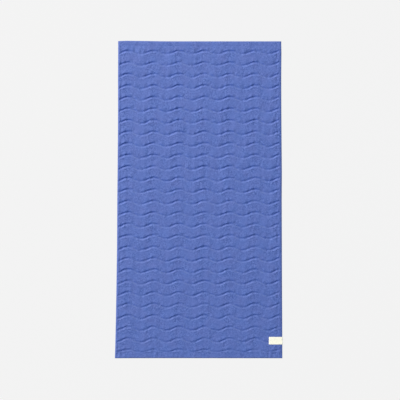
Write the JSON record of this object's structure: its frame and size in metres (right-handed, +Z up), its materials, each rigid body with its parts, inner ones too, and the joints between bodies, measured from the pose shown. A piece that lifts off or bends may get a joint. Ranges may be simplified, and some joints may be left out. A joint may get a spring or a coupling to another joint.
{
  "type": "bath towel",
  "caption": "Rectangular bath towel in thick cotton terry, laid out flat, with wavy grooves across its face, hemmed edges and a plain folded label on one long edge.",
  "frame": {"origin": "middle of the towel's underside, on the surface it lies on", "axes": "+X across the towel towards the edge with the label, +Y along its length away from the label, +Z up out of its grooved face"},
  "size_m": [0.7744, 1.4637, 0.0054],
  "materials": {
    "blue_terry": "blue cotton terry with a dense, matt pile",
    "cream_tape": "cream cotton tape in a close plain weave, bare of print"
  },
  "bodies": {
    "root": {"towel": "blue_terry", "label": "cream_tape"}
  },
  "joints": []
}
